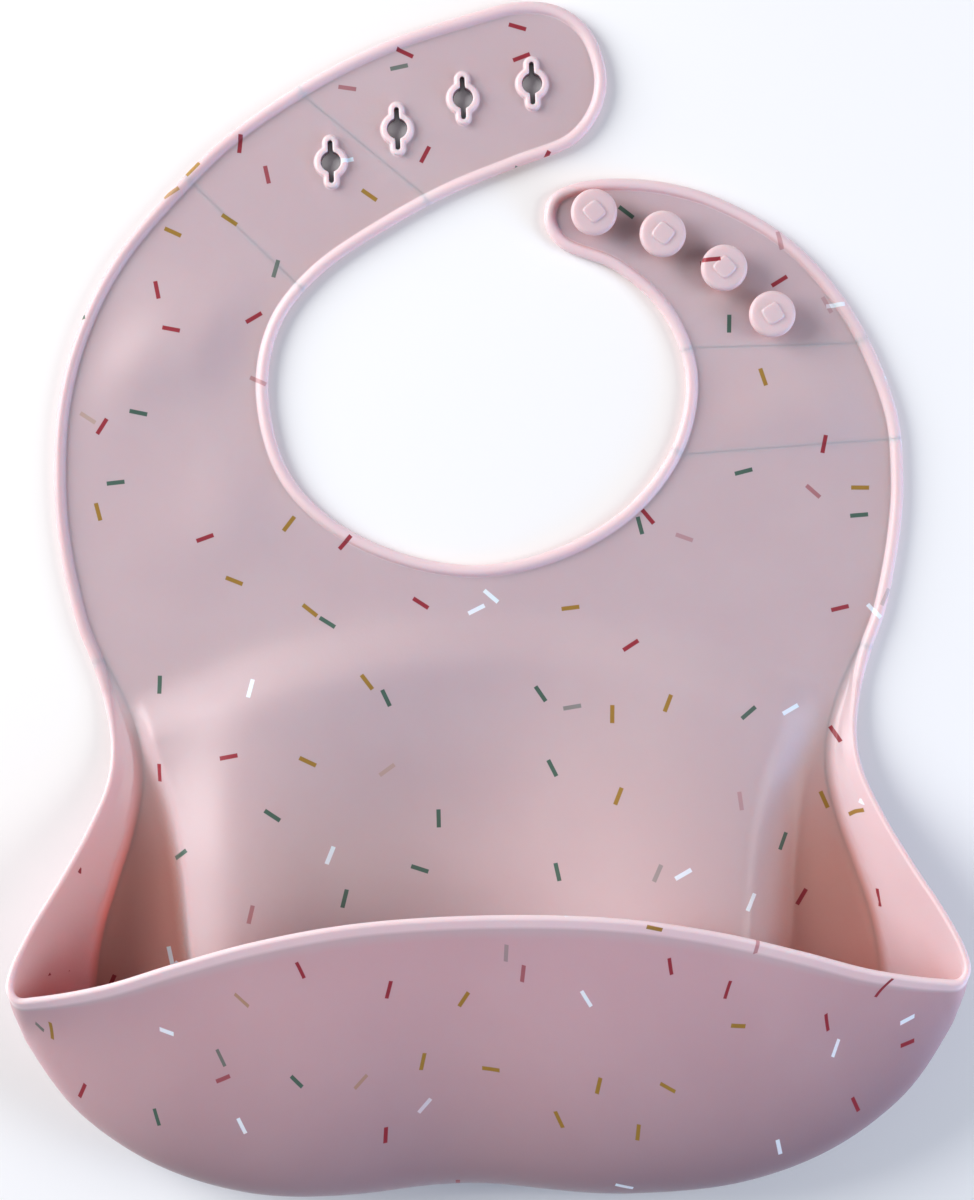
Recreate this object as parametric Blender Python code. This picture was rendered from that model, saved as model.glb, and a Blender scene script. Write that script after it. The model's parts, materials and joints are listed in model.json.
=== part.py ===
"""Silicone baby bib with a moulded catch-all pocket, lying on its back.

Metres, +Z up out of the front of the bib, +Y towards the neck, +X to the right of someone who looks
down at it. The origin is the middle of the outline, on the surface that the bib lies on.

The bib is one shot of silicone. Its features are separate solids here, divided where it bends.
"""

import math

import bmesh
import bpy
import numpy as np
from mathutils import Vector

MM = 0.001

# ---------------------------------------------------------------- driving dimensions

SHEET = 1.6 * MM  # thickness of the silicone sheet
GAP = 0.3 * MM  # clearance between neighbouring solids
FOOT_GAP = 1.1 * MM  # the same at the foot of the walls, whose lower ends lean inwards
CORNER_GAP = 0.8 * MM  # taken off each wall of the pocket where it meets another round a bend
BEAD = 2.9 * MM  # width and height of the bead along the free edges of the sheet
# its section, as shares of that size: across from the edge, and up
BEAD_SHAPE = [(0, 0), (1, 0), (1, 0.62), (0.78, 0.9), (0.5, 1), (0.22, 0.9), (0, 0.62)]
RIM_RADIUS = 1.4 * MM  # the same bead where it runs round the mouth of the pocket
FOLD_Y = -6.0 * MM  # the line where the chest folds over the pocket
HINGE_Z = 3.1 * MM  # the sheet bends about lines just above its beads

DOME_HEIGHT = 11.0 * MM  # how far the back wall of the pocket swells towards the front
DOME_START = 8.0 * MM  # from the fold to where it starts to swell
DOME_LENGTH = 74.0 * MM  # and from there to its full height
DOME_WIDTH = 200.0 * MM
SHOULDER = 9.0 * MM  # width of the slope that takes the back wall down to the floor

EYELETS = [(-35.2, 108.3), (-18.5, 116.2), (-2.0, 123.5), (15.3, 126.8)]
EYELET_LEAN = math.radians(1.2)
COLLAR = (3.95 * MM, 2.0 * MM, 6.65 * MM)  # radius, radius of its ends, half length
KEYHOLE = (2.45 * MM, 0.55 * MM, 5.15 * MM)  # the same for the slotted hole
COLLAR_HEIGHT = 2.9 * MM

STUDS = [(29.9, 93.8), (46.8, 88.1), (61.8, 79.4), (73.5, 67.7)]
STUD_TURNS = [math.radians(a) for a in (38.0, 50.0, 42.0, 30.0)]
# the turned outline of a stud: radius and height above the bottom of the sheet
STUD_PROFILE = [
    (3.0, 1.9),
    (2.5, 2.6),
    (2.5, 4.8),
    (5.0, 4.8),
    (5.75, 5.4),
    (5.75, 6.6),
    (5.3, 7.3),
    (4.7, 7.6),
]
PAD = (2.2 * MM, 7.6 * MM, 8.1 * MM)  # half side of the pad on a stud, its foot and its top

# The outline, clockwise from the left end of the chest fold, in stretches that end where it bends.
OUTLINE = {
    "chest_left": [
        (-100.8, -6.0),
        (-105.0, 14.4),
        (-105.9, 32.3),
        (-104.3, 50.3),
        (-99.0, 68.2),
        (-89.2, 86.2),
    ],
    "eyelet_outer": [(-67.3, 110.1), (-57.5, 118.1), (-38.4, 130.1)],
    "eyelet_end": [
        (-19.8, 138.6),
        (0.0, 144.6),
        (12.5, 147.4),
        (22.5, 146.0),
        (30.0, 140.1),
        (33.9, 129.0),
        (32.4, 120.0),
        (26.0, 111.9),
        (11.2, 106.1),
    ],
    "eyelet_inner": [(-5.0, 99.9), (-20.1, 92.2)],
    "neckline": [
        (-38.5, 80.2),
        (-48.4, 68.2),
        (-52.0, 52.3),
        (-47.7, 32.3),
        (-36.8, 19.6),
        (-19.0, 10.4),
        (0.0, 7.2),
        (19.0, 10.9),
        (36.0, 20.3),
        (46.5, 32.3),
    ],
    "button_inner": [(51.3, 44.3), (51.7, 56.3)],
    "button_end": [
        (46.0, 69.7),
        (34.5, 80.2),
        (21.2, 86.2),
        (17.6, 92.5),
        (19.4, 98.8),
        (26.7, 102.1),
        (38.0, 102.8),
        (50.0, 101.2),
    ],
    "button_outer": [(62.1, 97.1), (79.6, 86.2), (94.4, 68.2)],
    "chest_right": [(104.4, 44.3), (105.9, 28.0), (104.9, 13.8), (100.8, -6.0)],
}

# The pocket's right half in stations, from the top of the side wall round to the middle of the
# front: the foot on the floor, the widest point of the wall, and the middle of the bead on the rim.
FOOT = [
    (89.5, -24.0),
    (85.8, -35.0),
    (85.0, -45.0),
    (87.3, -57.0),
    (91.3, -69.0),
    (95.2, -81.0),
    (97.2, -92.0),
    (97.4, -99.0),
    (96.0, -106.0),
    (93.0, -112.0),
    (83.0, -121.0),
    (68.5, -127.0),
    (50.0, -130.0),
    (28.0, -131.0),
    (0.0, -130.0),
]
WALL = [
    (91.4, -24.0, 0.5),
    (88.6, -35.5, 1.2),
    (89.0, -45.2, 2.3),
    (93.0, -57.2, 5.0),
    (98.3, -68.6, 8.5),
    (104.5, -80.5, 12.5),
    (110.5, -92.0, 17.5),
    (112.9, -98.5, 20.0),
    (112.6, -103.5, 21.0),
    (110.3, -108.8, 20.0),
    (100.5, -123.5, 17.0),
    (83.0, -136.8, 15.0),
    (61.0, -144.9, 13.5),
    (33.0, -147.3, 13.0),
    (0.0, -145.8, 13.0),
]
RIM = [
    (93.2, -24.0, 1.8),
    (91.3, -36.0, 3.6),
    (92.3, -45.4, 6.3),
    (97.0, -57.2, 11.8),
    (102.8, -68.3, 18.2),
    (108.9, -79.0, 25.2),
    (112.8, -88.0, 30.5),
    (113.2, -92.0, 32.0),
    (111.4, -94.4, 32.4),
    (106.5, -94.4, 32.9),
    (90.5, -91.8, 34.5),
    (73.3, -86.8, 36.5),
    (54.3, -81.8, 38.5),
    (30.8, -77.8, 40.5),
    (0.0, -76.3, 41.5),
]
RIM_START = [(99.4, -6.2, 1.45), (95.9, -15.0, 1.5)]  # the rim between the fold and the pocket
CORNER = 7.5  # the station of the corner, where side wall and front wall meet
PANEL_START = [(97.4, -6.2), (94.0, -14.0)]  # the edge of the lower panel above the side walls
PANEL_SPINE = (-6.2 * MM, -95.0 * MM)  # the middle line that the lower panel is spread from
# where its rows lie between the edge and that line, close together on the shoulder
PANEL_ROWS = [0.0, 0.05, 0.1, 0.16, 0.24, 0.36, 0.52, 0.7, 0.85, 1.0]
ABOVE_PANEL = (0.0, -60.0 * MM, 60.0 * MM)  # places on the inner side of the walls
IN_POCKET = (0.0, -100.0 * MM, 16.0 * MM)

# how the walls of the pocket stand
UPRIGHT_START = 4.5  # the station where the wall starts to turn upright at its widest point
UPRIGHT_STATIONS = 3.0  # and how many stations later it is quite upright there
FOOT_PULL = 1.2  # how far it keeps level at the foot
LEAN_PULL = 0.55  # how far it keeps upright above its widest point
# the right half of the edge where the swell of the back wall drops to the floor
SHOULDER_LINE = [
    (97.0, -9.0),
    (87.5, -24.0),
    (82.5, -40.0),
    (79.0, -50.0),
    (76.0, -67.0),
    (73.8, -89.0),
    (70.0, -104.0),
    (58.0, -114.0),
    (30.0, -120.0),
    (0.0, -121.0),
]

# how finely the curves are divided
STEP = 5.0 * MM
PER_STATION = 2
PER_SHOULDER_SPAN = 6
SECTION_POINTS = 12
TROUGH_ROWS = 7
FRONT_ROWS = 12
GUSSET_ROWS = 8
AROUND = 20
WELD = 0.001 * MM
SHARP = math.radians(40)
PIVOT_DISPLAY = 20.0 * MM

SILICONE = (0.66, 0.40, 0.42)
SILICONE_IN_SHADE = (0.60, 0.33, 0.33)
ROUGHNESS = 0.42

# ---------------------------------------------------------------- curves


def metres(points):
    """The points, given in millimetres, as rows in metres."""
    return np.array(points, float) * MM


def span(a, b, c, d, pieces):
    """The curve from b to c of a Catmull-Rom spline through a, b, c and d, without c itself."""
    knots = np.cumsum([0.0] + [np.linalg.norm(q - p) ** 0.5 for p, q in ((a, b), (b, c), (c, d))])
    t = np.linspace(knots[1], knots[2], pieces, endpoint=False)[:, None]

    def mix(p, q, start, end):
        return ((knots[end] - t) * p + (t - knots[start]) * q) / (knots[end] - knots[start])

    ab, bc, cd = mix(a, b, 0, 1), mix(b, c, 1, 2), mix(c, d, 2, 3)
    return mix(mix(ab, bc, 0, 2), mix(bc, cd, 1, 3), 1, 2)


def smooth(points, pieces=None):
    """A smooth curve through the points, as rows, and the row of each of the points."""
    ends = np.vstack([2 * points[0] - points[1], points, 2 * points[-1] - points[-2]])
    rows, at = [], [0]
    for a, b, c, d in zip(ends, ends[1:], ends[2:], ends[3:]):
        count = pieces or max(1, round(float(np.linalg.norm(c - b)) / STEP))
        rows.append(span(a, b, c, d, count))
        at.append(at[-1] + count)
    return np.vstack(rows + [points[-1:]]), at


def lengths(curve):
    """How far along the curve each of its points is."""
    return np.concatenate([[0.0], np.cumsum(np.linalg.norm(np.diff(curve, axis=0), axis=1))])


def trimmed(curve, start, end, count):
    """The curve with a length taken off each end, as count evenly spaced points."""
    along = lengths(curve)
    wanted = np.linspace(start, along[-1] - end, count)
    return np.stack([np.interp(wanted, along, column) for column in curve.T], axis=1)


def shortened(curve, by):
    """The curve with its two end points moved in by a short length."""
    curve = curve.copy()
    for end, towards in ((0, 1), (-1, -2)):
        step = curve[towards] - curve[end]
        curve[end] += step * by / np.linalg.norm(step)
    return curve


def inward(curve):
    """The unit normal at each point of a clockwise outline, towards the silicone."""
    along = np.gradient(curve, axis=0)
    along /= np.linalg.norm(along, axis=1)[:, None]
    return np.stack([along[:, 1], -along[:, 0]], axis=1)


def outline_stretches():
    """Each named stretch of the outline as a curve, and its inward normals."""
    points = metres([point for stretch in OUTLINE.values() for point in stretch])
    curve, at = smooth(points)
    normals = inward(curve)
    stretches, first = {}, 0
    for name, own in OUTLINE.items():
        last = min(first + len(own), len(points) - 1)
        rows = slice(at[first], at[last] + 1)
        stretches[name] = (shortened(curve[rows], GAP / 2), normals[rows])
        first += len(own)
    return stretches


# ---------------------------------------------------------------- meshes and objects


def make_object(name, mesh, colour=SILICONE):
    """An object in the scene with a silicone material of its own."""
    material = bpy.data.materials.new(name)
    material.use_nodes = True
    shader = material.node_tree.nodes["Principled BSDF"]
    shader.inputs["Base Color"].default_value = (*colour, 1.0)
    shader.inputs["Roughness"].default_value = ROUGHNESS
    shader.inputs["Metallic"].default_value = 0.0
    piece = bpy.data.objects.new(name, mesh)
    if not mesh.materials:
        mesh.materials.append(material)
    bpy.context.scene.collection.objects.link(piece)
    return piece


def mesh_from(name, points, faces):
    mesh = bpy.data.meshes.new(name)
    mesh.from_pydata([tuple(map(float, p)) for p in points], [], faces)
    work = bmesh.new()
    work.from_mesh(mesh)
    bmesh.ops.remove_doubles(work, verts=work.verts, dist=WELD)
    bmesh.ops.recalc_face_normals(work, faces=work.faces)
    work.to_mesh(mesh)
    work.free()
    mesh.shade_smooth()
    mesh.set_sharp_from_angle(angle=SHARP)
    return mesh


def lofted_mesh(name, rings):
    """A closed solid through rings of points, all of one size, with a flat cap at each end."""
    rings = np.asarray(rings)
    count, around = rings.shape[:2]
    faces = [
        (
            row * around + k,
            row * around + (k + 1) % around,
            (row + 1) * around + (k + 1) % around,
            (row + 1) * around + k,
        )
        for row in range(count - 1)
        for k in range(around)
    ]
    faces.append(tuple(range(around))[::-1])
    faces.append(tuple((count - 1) * around + k for k in range(around)))
    return mesh_from(name, rings.reshape(-1, 3), faces)


def at_height(outline, z):
    """A flat outline as a ring of points at the height z."""
    return np.column_stack([outline, np.full(len(outline), z)])


def plate(name, outline):
    """A flat plate of sheet with the given outline, lying on z = 0."""
    rings = [at_height(outline, z) for z in (0.0, SHEET)]
    return make_object(name, lofted_mesh(name, rings))


def edge_bead(name, curve, normals):
    """A bead with a flat back and a rounded top, along a stretch of the outline."""
    shape = np.array(BEAD_SHAPE) * BEAD
    rings = [
        [(*(point + normal * across), up) for across, up in shape]
        for point, normal in zip(curve, normals)
    ]
    return make_object(name, lofted_mesh(name, rings))


def rim_bead(name, curve):
    """A round bead: a bevelled curve with filled ends."""
    data = bpy.data.curves.new(name, "CURVE")
    data.dimensions = "3D"
    spline = data.splines.new("POLY")
    spline.points.add(len(curve) - 1)
    for point, place in zip(spline.points, curve):
        point.co = (*place, 1.0)
    data.bevel_depth = RIM_RADIUS
    data.bevel_resolution = 2
    data.use_fill_caps = True
    return make_object(name, data)


def sheet(name, grid, inside, colour=SILICONE):
    """A sheet through a grid of points on its back, thickened towards the point called inside."""
    rows, columns = grid.shape[:2]
    faces = [
        (
            row * columns + k,
            row * columns + k + 1,
            (row + 1) * columns + k + 1,
            (row + 1) * columns + k,
        )
        for row in range(rows - 1)
        for k in range(columns - 1)
    ]
    mesh = mesh_from(name, grid.reshape(-1, 3), faces)
    face = mesh.polygons[len(mesh.polygons) // 2]
    if (Vector(inside) - face.center).dot(face.normal) > 0:
        mesh.flip_normals()
    piece = make_object(name, mesh, colour)
    shell = piece.modifiers.new("thickness", "SOLIDIFY")
    shell.thickness = SHEET
    shell.offset = -1.0
    shell.use_even_offset = True
    shell.use_quality_normals = True
    return piece


def cut(piece, cutter):
    """Takes the cutter's shape out of the piece."""
    cutter.hide_render = True
    cutter.display_type = "WIRE"
    modifier = piece.modifiers.new("cut", "BOOLEAN")
    modifier.operation = "DIFFERENCE"
    modifier.object = cutter


# ---------------------------------------------------------------- chest and straps


def chest_and_straps():
    stretches = outline_stretches()

    def inset(*names):
        """The inner side of the beads along the named stretches, joined into one outline."""
        return np.vstack([stretches[n][0] + stretches[n][1] * (BEAD + GAP) for n in names])

    pieces = {
        "chest": [
            plate("chest_panel", inset("chest_left", "neckline", "chest_right")),
            edge_bead("neckline_bead", *stretches["neckline"]),
            edge_bead("chest_bead_left", *stretches["chest_left"]),
            edge_bead("chest_bead_right", *stretches["chest_right"]),
        ],
        "eyelet_strap": [
            plate("eyelet_strap", inset("eyelet_outer", "eyelet_inner")),
            edge_bead("eyelet_strap_bead_outer", *stretches["eyelet_outer"]),
            edge_bead("eyelet_strap_bead_inner", *stretches["eyelet_inner"]),
        ],
        "eyelet_tip": [
            plate("eyelet_tip", inset("eyelet_end")),
            edge_bead("eyelet_tip_bead", *stretches["eyelet_end"]),
        ],
        "button_strap": [
            plate("button_strap", inset("button_inner", "button_outer")),
            edge_bead("button_strap_bead_outer", *stretches["button_outer"]),
            edge_bead("button_strap_bead_inner", *stretches["button_inner"]),
        ],
        "button_tip": [
            plate("button_tip", inset("button_end")),
            edge_bead("button_tip_bead", *stretches["button_end"]),
        ],
    }
    add_eyelets(pieces)
    add_studs(pieces)
    return pieces


def keyhole(radius, end_radius, half_length, steps=4):
    """The outline of a round hole with a slot through it along Y, from the right side round."""
    meet = math.acos(end_radius / radius)
    round_part = [radius * np.exp(1j * a) for a in np.linspace(0, meet, steps)]
    centre = 1j * (half_length - end_radius)
    end_part = [centre + end_radius * np.exp(1j * a) for a in np.linspace(0, math.pi / 2, steps)]
    quarter = np.array(round_part + end_part)
    half = np.concatenate([quarter, -quarter[-2::-1].conj()])
    whole = np.concatenate([half, -half[1:-1]])
    return np.column_stack([whole.real, whole.imag])


def collar_mesh():
    """A ring with straight walls round the slotted hole."""
    outer, inner = keyhole(*COLLAR), keyhole(*KEYHOLE)
    loops = [
        at_height(outer, 0.0),
        at_height(outer, COLLAR_HEIGHT),
        at_height(inner, COLLAR_HEIGHT),
        at_height(inner, 0.0),
    ]
    count, around = len(loops), len(outer)
    faces = [
        (
            row * around + k,
            row * around + (k + 1) % around,
            (row + 1) % count * around + (k + 1) % around,
            (row + 1) % count * around + k,
        )
        for row in range(count)
        for k in range(around)
    ]
    return mesh_from("eyelet_collar", np.vstack(loops), faces)


def add_eyelets(pieces):
    """Four collars, each in a hole of its strap: two before the bend and two after it."""
    collar = collar_mesh()
    hole_outline = keyhole(*(size + GAP for size in COLLAR))
    hole = lofted_mesh("eyelet_hole", [at_height(hole_outline, z) for z in (-SHEET, 2 * SHEET)])
    for number, place in enumerate(metres(EYELETS), 1):
        body = "eyelet_strap" if number < 3 else "eyelet_tip"
        piece = make_object(f"eyelet_collar_{number}", collar)
        cutter = make_object(f"eyelet_hole_{number}", hole)
        for one in (piece, cutter):
            one.location = (*place, 0.0)
            one.rotation_euler = (0.0, 0.0, EYELET_LEAN)
        cut(pieces[body][0], cutter)
        pieces[body].append(piece)


def circle(radius):
    turn = 2 * math.pi * np.arange(AROUND) / AROUND
    return radius * np.column_stack([np.cos(turn), np.sin(turn)])


def rounded_square(half_side, power=5.0):
    """A square with round corners, as a superellipse."""
    turn = 2 * math.pi * np.arange(AROUND) / AROUND
    reach = (np.abs(np.cos(turn)) ** power + np.abs(np.sin(turn)) ** power) ** (-1 / power)
    return half_side * reach[:, None] * np.column_stack([np.cos(turn), np.sin(turn)])


def add_studs(pieces):
    """Four mushroom studs with a small square pad on top: two before the bend and two after it."""
    half_side, foot, top = PAD
    rings = [at_height(circle(radius * MM), height * MM) for radius, height in STUD_PROFILE]
    rings.append(at_height(rounded_square(half_side), foot))
    rings.append(at_height(rounded_square(half_side), top))
    stud = lofted_mesh("button_stud", rings)
    for number, (place, turn) in enumerate(zip(metres(STUDS), STUD_TURNS), 1):
        piece = make_object(f"button_stud_{number}", stud)
        piece.location = (*place, 0.0)
        piece.rotation_euler = (0.0, 0.0, turn)
        pieces["button_tip" if number < 3 else "button_strap"].append(piece)


# ---------------------------------------------------------------- pocket


def soft_step(share):
    """0 at 0 and 1 at 1, level at both."""
    share = np.clip(share, 0.0, 1.0)
    return share * share * (3 - 2 * share)


def both_halves(right):
    """A curve or a row of curves from the left side round to the right, from its right half."""
    left = right.copy()
    left[..., 0] *= -1
    return np.concatenate([left, right[::-1][1:]])


def stations():
    """Foot, wall and rim of the pocket's right half, divided between the stations."""
    foot = metres([(*point, 0.0) for point in FOOT])
    return [smooth(points, PER_STATION)[0] for points in (foot, metres(WALL), metres(RIM))]


def hermite(start, end, leaving, arriving, count):
    t = np.linspace(0, 1, count)[:, None]
    return (
        (2 * t**3 - 3 * t**2 + 1) * start
        + (t**3 - 2 * t**2 + t) * leaving
        + (3 * t**2 - 2 * t**3) * end
        + (t**3 - t**2) * arriving
    )


def wall_section(foot, wall, rim, station):
    """The pocket wall's outer side at one station: from foot to wall, and from wall to rim.

    It leaves the floor level. A side wall then goes straight on to the rim, and the front wall
    turns upright at its widest point and leans back over the pocket.
    """
    upright = soft_step((station - UPRIGHT_START) / UPRIGHT_STATIONS)
    leaving = (wall - foot) * (1.0, 1.0, 0.0) * FOOT_PULL
    straight = (rim - foot) / 2
    up = np.array([0.0, 0.0, 1.0])
    lower_turn = (1 - upright) * straight + upright * up * np.linalg.norm(wall - foot)
    upper_turn = (1 - upright) * straight + upright * up * np.linalg.norm(rim - wall) * LEAN_PULL
    lower = hermite(foot, wall, leaving, lower_turn, SECTION_POINTS)
    upper = hermite(wall, rim, upper_turn, rim - wall, SECTION_POINTS)
    return lower, upper


def dome(x, y):
    """The height of the lower panel's back above the table."""
    line, _ = smooth(metres(SHOULDER_LINE), PER_SHOULDER_SPAN)
    line = np.vstack([line, line[::-1] * (-1, 1)])
    place = np.column_stack([np.ravel(x), np.ravel(y)])
    start, step = line[:-1], np.diff(line, axis=0)
    step_square = np.maximum((step**2).sum(1), 1e-12)
    share = ((place[:, None] - start) * step).sum(2) / step_square
    nearest = start + np.clip(share, 0, 1)[..., None] * step
    distance = np.linalg.norm(place[:, None] - nearest, axis=2).min(1)
    right = line[: len(line) // 2]
    reach = np.interp(-place[:, 1], -right[:, 1], right[:, 0])
    within = (np.abs(place[:, 0]) < reach) & (place[:, 1] > right[-1, 1])
    drop = soft_step(np.where(within, distance, 0.0) / SHOULDER)
    swell = soft_step((FOLD_Y - DOME_START - place[:, 1]) / DOME_LENGTH)
    across = np.cos(np.clip(place[:, 0] / DOME_WIDTH, -0.5, 0.5) * math.pi)
    return (DOME_HEIGHT * swell * across * drop).reshape(np.shape(x))


def lower_panel():
    """The back wall of the pocket, spread from its middle line to the foot of the walls."""
    edge, _ = smooth(np.vstack([metres(PANEL_START), metres(FOOT)]), PER_STATION)
    edge = edge + inward(edge) * GAP / 2
    spine = np.zeros_like(edge)
    spine[:, 1] = np.linspace(*PANEL_SPINE, len(edge))
    flat = edge[:, None] + (spine - edge)[:, None] * np.array(PANEL_ROWS)[:, None]
    half = np.concatenate([flat, dome(flat[..., 0], flat[..., 1])[..., None]], axis=2)
    return sheet("lower_panel", both_halves(half), ABOVE_PANEL)


def pocket():
    foot, wall, rim = stations()
    station = np.arange(len(foot)) / PER_STATION
    lower, upper = zip(*map(wall_section, foot, wall, rim, station))
    corner = round(CORNER * PER_STATION)
    edge = RIM_RADIUS + GAP
    side = slice(0, corner + 1)
    round_front = slice(corner, None)

    trough = np.array([trimmed(low, FOOT_GAP, CORNER_GAP, TROUGH_ROWS) for low in lower[round_front]])
    front = np.array([trimmed(up, CORNER_GAP, edge, FRONT_ROWS) for up in upper[round_front]])
    gusset = np.array(
        [
            trimmed(np.vstack([low, up[1:]]), FOOT_GAP, edge, GUSSET_ROWS)
            for low, up in zip(lower[side], upper[side])
        ]
    )
    trough, front = both_halves(trough), both_halves(front)
    for grid in (trough, front, gusset):
        grid[:] = np.stack([shortened(row, CORNER_GAP) for row in np.swapaxes(grid, 0, 1)], axis=1)
    start, _ = smooth(np.vstack([metres(RIM_START), rim[:1]]), PER_STATION)
    side_rim = shortened(np.vstack([start, rim[1 : corner + 1]]), GAP)
    lip = shortened(both_halves(rim[round_front]), GAP)
    mirror = np.array([-1.0, 1.0, 1.0])
    return {
        "pocket_base": [
            lower_panel(),
            sheet("pocket_trough", trough, IN_POCKET),
            sheet("gusset_left", gusset * mirror, IN_POCKET, SILICONE_IN_SHADE),
            sheet("gusset_right", gusset, IN_POCKET, SILICONE_IN_SHADE),
            rim_bead("gusset_bead_left", side_rim * mirror),
            rim_bead("gusset_bead_right", side_rim),
        ],
        "pocket_front": [sheet("pocket_front", front, IN_POCKET), rim_bead("pocket_lip", lip)],
    }


# ---------------------------------------------------------------- bodies


def pivot(name, place, parent):
    """An empty on a bend's axis, which the pieces of one body hang on."""
    empty = bpy.data.objects.new(name, None)
    empty.empty_display_size = PIVOT_DISPLAY
    bpy.context.scene.collection.objects.link(empty)
    empty.location = Vector(place)
    hang(empty, parent)
    return empty


def hang(child, parent):
    """Parents the child and leaves it where it is in the world."""
    if parent is None:
        return
    bpy.context.view_layer.update()
    child.parent = parent
    child.matrix_parent_inverse = parent.matrix_world.inverted()


def middle_of(first, second):
    """The middle of the line across a strap between the first points of two stretches."""
    return (*((metres(OUTLINE[first][0]) + metres(OUTLINE[second][0])) / 2), HINGE_Z)


def main():
    for old in list(bpy.data.objects):
        bpy.data.objects.remove(old)
    pieces = {**pocket(), **chest_and_straps()}
    base = pivot("pocket_base", (0.0, 0.0, 0.0), None)
    chest = pivot("chest_fold", (0.0, FOLD_Y, HINGE_Z), base)
    eyelet_strap = pivot("eyelet_strap_bend", middle_of("eyelet_outer", "neckline"), chest)
    button_strap = pivot("button_strap_bend", middle_of("button_inner", "chest_right"), chest)
    pivots = {
        "pocket_base": base,
        "chest": chest,
        "eyelet_strap": eyelet_strap,
        "eyelet_tip": pivot("eyelet_tip_bend", middle_of("eyelet_end", "eyelet_inner"), eyelet_strap),
        "button_strap": button_strap,
        "button_tip": pivot("button_tip_bend", middle_of("button_end", "button_outer"), button_strap),
        "pocket_front": pivot("pocket_lip_lift", metres((0.0, *WALL[-1][1:])), base),
    }
    for body, members in pieces.items():
        for piece in members:
            hang(piece, pivots[body])


main()
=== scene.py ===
"""The looks of a silicone baby bib with a moulded pocket.

The bib is one moulding, so its visible surface is one closed skin: a bead that runs round the whole
free edge, the sheet inside it, the collars of the eyelets and the walls of the pocket. The skin is
divided across the lines where the bib bends, because a piece can follow only one joint.
"""

import json
import math

import bmesh
import bpy
import numpy as np
from mathutils import Matrix, Vector
from mathutils.geometry import delaunay_2d_cdt


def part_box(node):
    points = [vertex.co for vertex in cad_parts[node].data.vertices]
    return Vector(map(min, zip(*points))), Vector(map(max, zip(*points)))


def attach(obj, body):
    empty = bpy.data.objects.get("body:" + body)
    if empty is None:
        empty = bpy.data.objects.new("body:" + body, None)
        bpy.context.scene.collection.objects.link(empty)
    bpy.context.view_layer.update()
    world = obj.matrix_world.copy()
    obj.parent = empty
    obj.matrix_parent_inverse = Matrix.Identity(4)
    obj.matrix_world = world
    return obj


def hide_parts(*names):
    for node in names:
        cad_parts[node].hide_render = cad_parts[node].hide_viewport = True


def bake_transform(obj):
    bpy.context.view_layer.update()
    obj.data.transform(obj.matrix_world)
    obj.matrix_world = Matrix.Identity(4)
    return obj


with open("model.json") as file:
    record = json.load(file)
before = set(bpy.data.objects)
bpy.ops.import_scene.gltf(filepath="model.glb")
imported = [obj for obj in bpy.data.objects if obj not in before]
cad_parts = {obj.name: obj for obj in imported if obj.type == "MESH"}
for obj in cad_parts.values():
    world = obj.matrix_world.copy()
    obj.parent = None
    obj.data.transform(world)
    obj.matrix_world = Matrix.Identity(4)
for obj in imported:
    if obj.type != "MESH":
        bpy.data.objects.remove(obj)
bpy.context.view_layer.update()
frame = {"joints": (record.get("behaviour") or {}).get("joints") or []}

MM = 0.001

# ---------------------------------------------------------------- the bib's own dimensions

SHEET = 1.6  # thickness of the silicone, in millimetres as everything in this section

# the outline, clockwise from the left end of the chest fold
OUTLINE = [
    (-100.8, -6.0),
    (-105.0, 14.4),
    (-105.9, 32.3),
    (-104.3, 50.3),
    (-99.0, 68.2),
    (-89.2, 86.2),
    (-67.3, 110.1),
    (-57.5, 118.1),
    (-38.4, 130.1),
    (-19.8, 138.6),
    (0.0, 144.6),
    (12.5, 147.4),
    (22.5, 146.0),
    (30.0, 140.1),
    (33.9, 129.0),
    (32.4, 120.0),
    (26.0, 111.9),
    (11.2, 106.1),
    (-5.0, 99.9),
    (-20.1, 92.2),
    (-38.5, 80.2),
    (-48.4, 68.2),
    (-52.0, 52.3),
    (-47.7, 32.3),
    (-36.8, 19.6),
    (-19.0, 10.4),
    (0.0, 7.2),
    (19.0, 10.9),
    (36.0, 20.3),
    (46.5, 32.3),
    (51.3, 44.3),
    (51.7, 56.3),
    (46.0, 69.7),
    (34.5, 80.2),
    (21.2, 86.2),
    (17.6, 92.5),
    (19.4, 98.8),
    (26.7, 102.1),
    (38.0, 102.8),
    (50.0, 101.2),
    (62.1, 97.1),
    (79.6, 86.2),
    (94.4, 68.2),
    (104.4, 44.3),
    (105.9, 28.0),
    (104.9, 13.8),
    (100.8, -6.0),
]
# the pocket's right half from the side of the fold to the middle of the front, in stations
SIDE_START = (95.9, -15.0, 1.5)  # the middle of the bead where the side wall begins
FOOT = [
    (89.5, -24.0),
    (85.8, -35.0),
    (85.0, -45.0),
    (87.3, -57.0),
    (91.3, -69.0),
    (95.2, -81.0),
    (97.2, -92.0),
    (97.4, -99.0),
    (96.0, -106.0),
    (93.0, -112.0),
    (83.0, -121.0),
    (68.5, -127.0),
    (50.0, -130.0),
    (28.0, -131.0),
    (0.0, -130.0),
]
WALL = [
    (91.4, -24.0, 0.5),
    (88.6, -35.5, 1.2),
    (89.0, -45.2, 2.3),
    (93.0, -57.2, 5.0),
    (98.3, -68.6, 8.5),
    (104.5, -80.5, 12.5),
    (110.5, -92.0, 17.5),
    (112.9, -98.5, 20.0),
    (112.6, -103.5, 21.0),
    (110.3, -108.8, 20.0),
    (100.5, -123.5, 17.0),
    (83.0, -136.8, 15.0),
    (61.0, -144.9, 13.5),
    (33.0, -147.3, 13.0),
    (0.0, -145.8, 13.0),
]
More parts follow.
